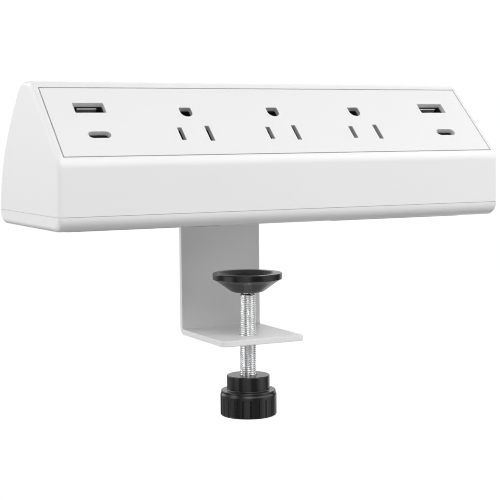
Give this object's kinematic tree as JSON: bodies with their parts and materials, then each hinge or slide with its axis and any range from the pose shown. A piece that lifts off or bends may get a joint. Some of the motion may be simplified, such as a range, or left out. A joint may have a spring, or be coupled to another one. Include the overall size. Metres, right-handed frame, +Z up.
{
  "type": "desk clamp power strip",
  "caption": "Wedge-shaped desk-edge power strip with mains outlets and USB ports on a sloping face, held by a steel C-clamp with a screw-driven swivel pad.",
  "frame": {"origin": "middle of the strip's length, on the desk surface it stands on, at the front face of the bracket's vertical plate where the desk edge touches", "axes": "+X along the strip (to the right for a user facing the outlets), +Y away from the user towards the back, +Z up; the clamp rod is parallel to Z"},
  "size_m": [0.2108, 0.1288, 0.15],
  "materials": {
    "shell_plastic": "satin moulded ABS",
    "panel_plastic": "smooth satin",
    "base_plastic": "satin moulded ABS",
    "foot_rubber": "matte",
    "zinc_steel": "bright zinc",
    "bracket_paint": "satin powder coat",
    "black_plastic": "glossy",
    "contact_brass": "bare",
    "circuit_board": "solder resist",
    "port_nylon": "moulded",
    "socket_black": "matte",
    "cord_pvc": "soft matte",
    "wire_black": "satin",
    "wire_white": "satin",
    "wire_green": "satin",
    "wire_red": "satin",
    "ferrite": "matte",
    "capacitor_sleeve": "shrink sleeve",
    "copper_winding": "enamelled winding",
    "fuse_glass": "glossy"
  },
  "bodies": {
    "housing": {"base_cover": "base_plastic", "base_screw_1": "zinc_steel", "base_screw_2": "zinc_steel", "base_screw_3": "zinc_steel", "base_screw_4": "zinc_steel", "base_screw_5": "zinc_steel", "base_screw_6": "zinc_steel", "bracket_screw_1": "zinc_steel", "bracket_screw_2": "zinc_steel", "bracket_screw_3": "zinc_steel", "bracket_screw_4": "zinc_steel", "clamp_bracket": "bracket_paint", "cord_boot": "cord_pvc", "face_plate": "panel_plastic", "feed_live": "wire_black", "feed_neutral": "wire_white", "foot_pad_left": "foot_rubber", "foot_pad_right": "foot_rubber", "fuse": "fuse_glass", "ground_busbar": "contact_brass", "input_capacitor": "capacitor_sleeve", "line_choke": "copper_winding", "live_busbar": "contact_brass", "neutral_busbar": "contact_brass", "output_capacitor": "capacitor_sleeve", "power_board": "circuit_board", "power_cord": "cord_pvc", "socket_insulator": "socket_black", "socket_insulator_cover": "socket_black", "transformer": "ferrite", "upper_shell": "shell_plastic", "usb_a_shell_left": "socket_black", "usb_a_shell_right": "socket_black", "usb_a_tongue_left": "port_nylon", "usb_a_tongue_right": "port_nylon", "usb_board_left": "circuit_board", "usb_board_right": "circuit_board", "usb_c_shell_left": "socket_black", "usb_c_shell_right": "socket_black", "usb_c_tongue_left": "socket_black", "usb_c_tongue_right": "socket_black", "usb_cable_left": "wire_red", "usb_cable_right": "wire_red", "wire_ground": "wire_green", "wire_live": "wire_black", "wire_neutral": "wire_white"},
    "pad_carrier": {"pad_washer": "zinc_steel"},
    "clamp_screw": {"clamp_rod": "zinc_steel", "clamp_knob": "black_plastic"},
    "pad": {"clamp_pad": "black_plastic"}
  },
  "joints": [
    {"name": "clamp_travel", "type": "slide", "parent": "housing", "child": "pad_carrier", "axis": [0, 0, 1], "range_m": [-0.0175, 0.014]},
    {"name": "screw_turn", "type": "hinge", "parent": "pad_carrier", "child": "clamp_screw", "pos_m": [-0.0011, -0.03, -0.06], "axis": [0, 0, 1], "range_deg": [-6300, 5040]},
    {"name": "pad_tilt", "type": "hinge", "parent": "pad_carrier", "child": "pad", "pos_m": [-0.0011, -0.03, -0.029], "axis": [1, 0, 0], "range_deg": [-6, 6]}
  ],
  "couplings": [
    {"joint": "screw_turn", "follows": "clamp_travel", "rad_per_m": 6283.2}
  ]
}
